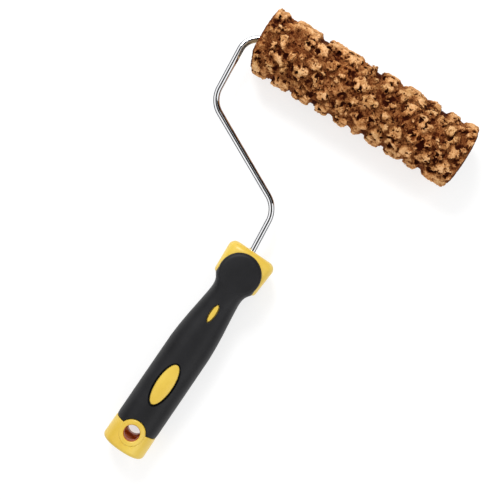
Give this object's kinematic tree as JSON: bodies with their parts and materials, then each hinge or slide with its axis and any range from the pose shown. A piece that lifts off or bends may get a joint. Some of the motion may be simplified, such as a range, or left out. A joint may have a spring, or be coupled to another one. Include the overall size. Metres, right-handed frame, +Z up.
{
  "type": "textured pattern roller",
  "caption": "Sea-sponge texture roller: a sponge cover on a free-spinning wire cage, held by a bent rod in a soft-grip handle with a hang hole and a pole socket.",
  "frame": {"origin": "middle of the tool's footprint on the floor, the tool lying on its sponge cover and on the hang hole's boss", "axes": "+X along the roller's spin axis from the bent end to the free end, +Y up the tool from the butt to the roller, +Z up from the floor"},
  "size_m": [0.1904, 0.346, 0.054],
  "materials": {
    "chrome_rod": "polished",
    "yellow_plastic": "satin",
    "black_grip_rubber": "matte",
    "bright_steel": "satin",
    "white_nylon": "satin",
    "grey_cap_plastic": "satin",
    "core_tube_board": "matte",
    "sea_sponge": "matte"
  },
  "bodies": {
    "handle": {"wire_frame_rod": "chrome_rod", "handle_core": "yellow_plastic", "grip_sleeve": "black_grip_rubber", "inner_stop_collar": "bright_steel", "inner_washer": "bright_steel", "outer_washer": "bright_steel", "push_nut": "bright_steel"},
    "cage": {"inner_end_cap": "grey_cap_plastic", "outer_end_cap": "grey_cap_plastic", "inner_bearing_bush": "white_nylon", "outer_bearing_bush": "white_nylon", "cage_spider": "grey_cap_plastic", "cage_wire_1": "bright_steel", "cage_wire_2": "bright_steel", "cage_wire_3": "bright_steel", "cage_wire_4": "bright_steel", "cage_wire_5": "bright_steel"},
    "cover": {"core_tube": "core_tube_board", "sponge_cover": "sea_sponge"}
  },
  "joints": [
    {"name": "roller_spin", "type": "hinge", "parent": "handle", "child": "cage", "pos_m": [0.00619, 0.14603, 0.027], "axis": [1, 0, 0], "continuous": true},
    {"name": "cover_pull_off", "type": "slide", "parent": "cage", "child": "cover", "axis": [1, 0, 0], "range_m": [0, 0.18]}
  ]
}
